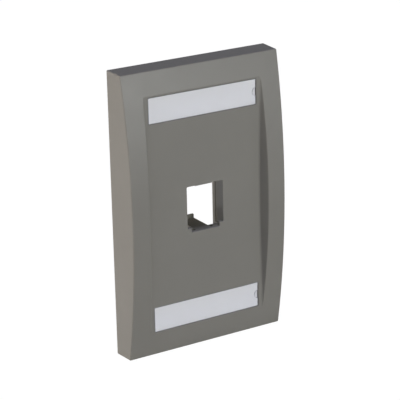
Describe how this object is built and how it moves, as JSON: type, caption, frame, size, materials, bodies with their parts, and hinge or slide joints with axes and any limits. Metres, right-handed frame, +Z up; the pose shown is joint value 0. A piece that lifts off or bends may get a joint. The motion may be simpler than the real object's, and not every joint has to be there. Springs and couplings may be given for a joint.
{
  "type": "wall faceplate for snap-in modules",
  "caption": "Grey single-gang wall faceplate with an arched front, a snap-in module port and two clear label windows.",
  "frame": {"origin": "middle of the wall plane, halfway between the two box screws", "axes": "+X to the right as seen from the front, +Y into the wall, +Z up"},
  "size_m": [0.0698, 0.0304, 0.1142],
  "materials": {
    "plate_plastic": "fine moulded texture, warm dark grey",
    "clear_cover": "clear, smooth",
    "label_card": "plain white card",
    "screw_steel": "zinc plated"
  },
  "bodies": {
    "plate": {"faceplate": "plate_plastic", "label_card_top": "label_card", "label_card_bottom": "label_card", "mounting_screw_top": "screw_steel", "mounting_screw_bottom": "screw_steel"},
    "top_cover": {"label_cover_top": "clear_cover"},
    "bottom_cover": {"label_cover_bottom": "clear_cover"}
  },
  "joints": [
    {"name": "top_cover_pull", "type": "slide", "parent": "plate", "child": "top_cover", "axis": [0, -1, 0], "range_m": [0, 0.016]},
    {"name": "bottom_cover_pull", "type": "slide", "parent": "plate", "child": "bottom_cover", "axis": [0, -1, 0], "range_m": [0, 0.016]}
  ]
}
